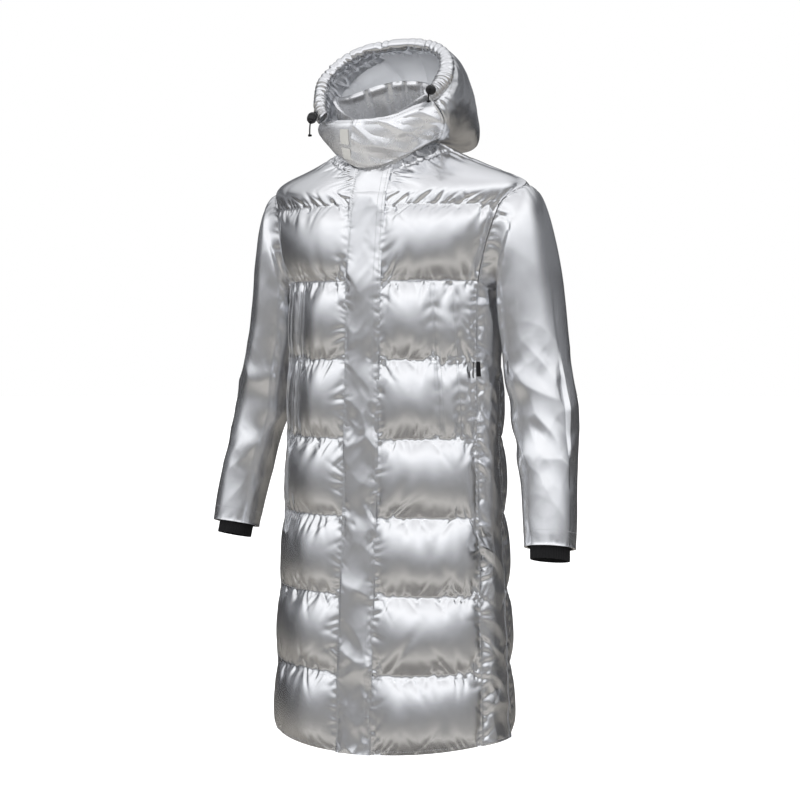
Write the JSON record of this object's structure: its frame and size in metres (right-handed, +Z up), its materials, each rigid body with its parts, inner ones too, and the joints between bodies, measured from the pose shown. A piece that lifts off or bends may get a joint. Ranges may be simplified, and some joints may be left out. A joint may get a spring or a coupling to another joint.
{
  "type": "long hooded puffer coat, worn",
  "caption": "Long silver quilted puffer coat with a hood, storm flap, chin flaps, rib cuffs and drawcord locks, filled out as if worn.",
  "frame": {"origin": "where the wearer carries the coat: on the body's axis at the height of the shoulders, midway between the sleeves", "axes": "+X towards the wearer's left, +Y towards the wearer's back, +Z up"},
  "size_m": [0.717, 0.3471, 1.2559],
  "materials": {
    "silver_shell": "metallised",
    "grey_lining": "matte",
    "black_rib": "matte",
    "hook_and_loop": "matte",
    "black_cord": "matte",
    "black_plastic": "satin"
  },
  "bodies": {
    "root": {"front_left": "silver_shell", "front_right": "silver_shell", "front_yoke_left": "silver_shell", "front_yoke_right": "silver_shell", "side_left": "silver_shell", "side_right": "silver_shell", "back": "silver_shell", "back_yoke": "silver_shell", "storm_flap": "silver_shell", "zip": "black_plastic", "pocket_welt_left": "silver_shell", "pocket_welt_right": "silver_shell", "vent_band_left": "silver_shell", "vent_band_right": "silver_shell", "sleeve_left": "silver_shell", "sleeve_right": "silver_shell", "cuff_left": "black_rib", "cuff_right": "black_rib", "collar": "silver_shell", "chin_flap_left": "silver_shell", "chin_flap_right": "silver_shell", "patch_upper": "hook_and_loop", "patch_lower": "hook_and_loop", "hood_left": "silver_shell", "hood_right": "silver_shell", "hood_lining_left": "grey_lining", "hood_lining_right": "grey_lining", "hood_brim": "silver_shell", "side_tag": "black_rib", "drawcord_left": "black_cord", "drawcord_right": "black_cord", "cord_lock_left": "black_plastic", "cord_lock_right": "black_plastic"}
  },
  "joints": []
}
